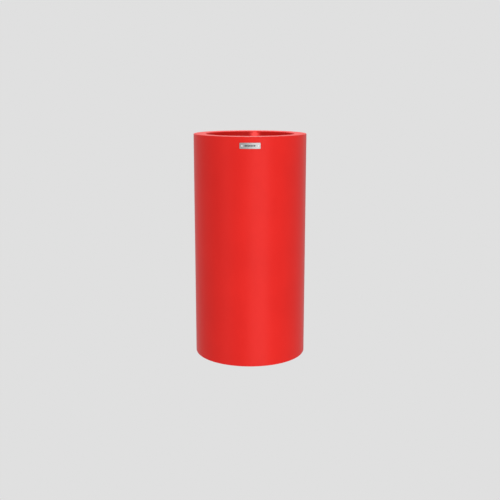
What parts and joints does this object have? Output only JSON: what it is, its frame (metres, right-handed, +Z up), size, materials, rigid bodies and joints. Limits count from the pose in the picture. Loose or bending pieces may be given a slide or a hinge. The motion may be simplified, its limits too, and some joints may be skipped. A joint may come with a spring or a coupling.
{
  "type": "round planter",
  "caption": "Tall round planter with a wide flat rim, a riveted plate below it, a lift-out false floor on an inner ledge, and drain holes with rubber bungs.",
  "frame": {"origin": "centre of the standing ring, on the ground", "axes": "+Z up along the tub's axis, the plate on the -Y side, +X to the right when looking at the plate"},
  "size_m": [0.3999, 0.4016, 0.8],
  "materials": {
    "tub": "satin red rotomoulded polyethylene",
    "plate": "stainless steel brushed along the plate",
    "enamel": "dark enamel filling, level with the plate",
    "rivet": "plain aluminium blind rivet",
    "mandrel": "snapped steel stem",
    "plug": "black polyethylene",
    "floor": "charcoal polyethylene",
    "bung": "black rubber"
  },
  "bodies": {
    "tub": {"pot_shell": "tub", "badge_plate": "plate", "badge_enamel": "enamel", "badge_rivets": "rivet", "rivet_mandrels": "mandrel", "vent_plug": "plug"},
    "floor": {"false_floor": "floor"},
    "bung_1": {"drain_plug_1": "bung"},
    "bung_2": {"drain_plug_2": "bung"},
    "bung_3": {"drain_plug_3": "bung"},
    "bung_4": {"drain_plug_4": "bung"}
  },
  "joints": [
    {"name": "floor_lift", "type": "slide", "parent": "tub", "child": "floor", "axis": [0, 0, 1], "range_m": [0, 0.62]},
    {"name": "bung_1_pull", "type": "slide", "parent": "tub", "child": "bung_1", "axis": [0, 0, 1], "range_m": [0, 0.04]},
    {"name": "bung_2_pull", "type": "slide", "parent": "tub", "child": "bung_2", "axis": [0, 0, 1], "range_m": [0, 0.04]},
    {"name": "bung_3_pull", "type": "slide", "parent": "tub", "child": "bung_3", "axis": [0, 0, 1], "range_m": [0, 0.04]},
    {"name": "bung_4_pull", "type": "slide", "parent": "tub", "child": "bung_4", "axis": [0, 0, 1], "range_m": [0, 0.04]}
  ]
}
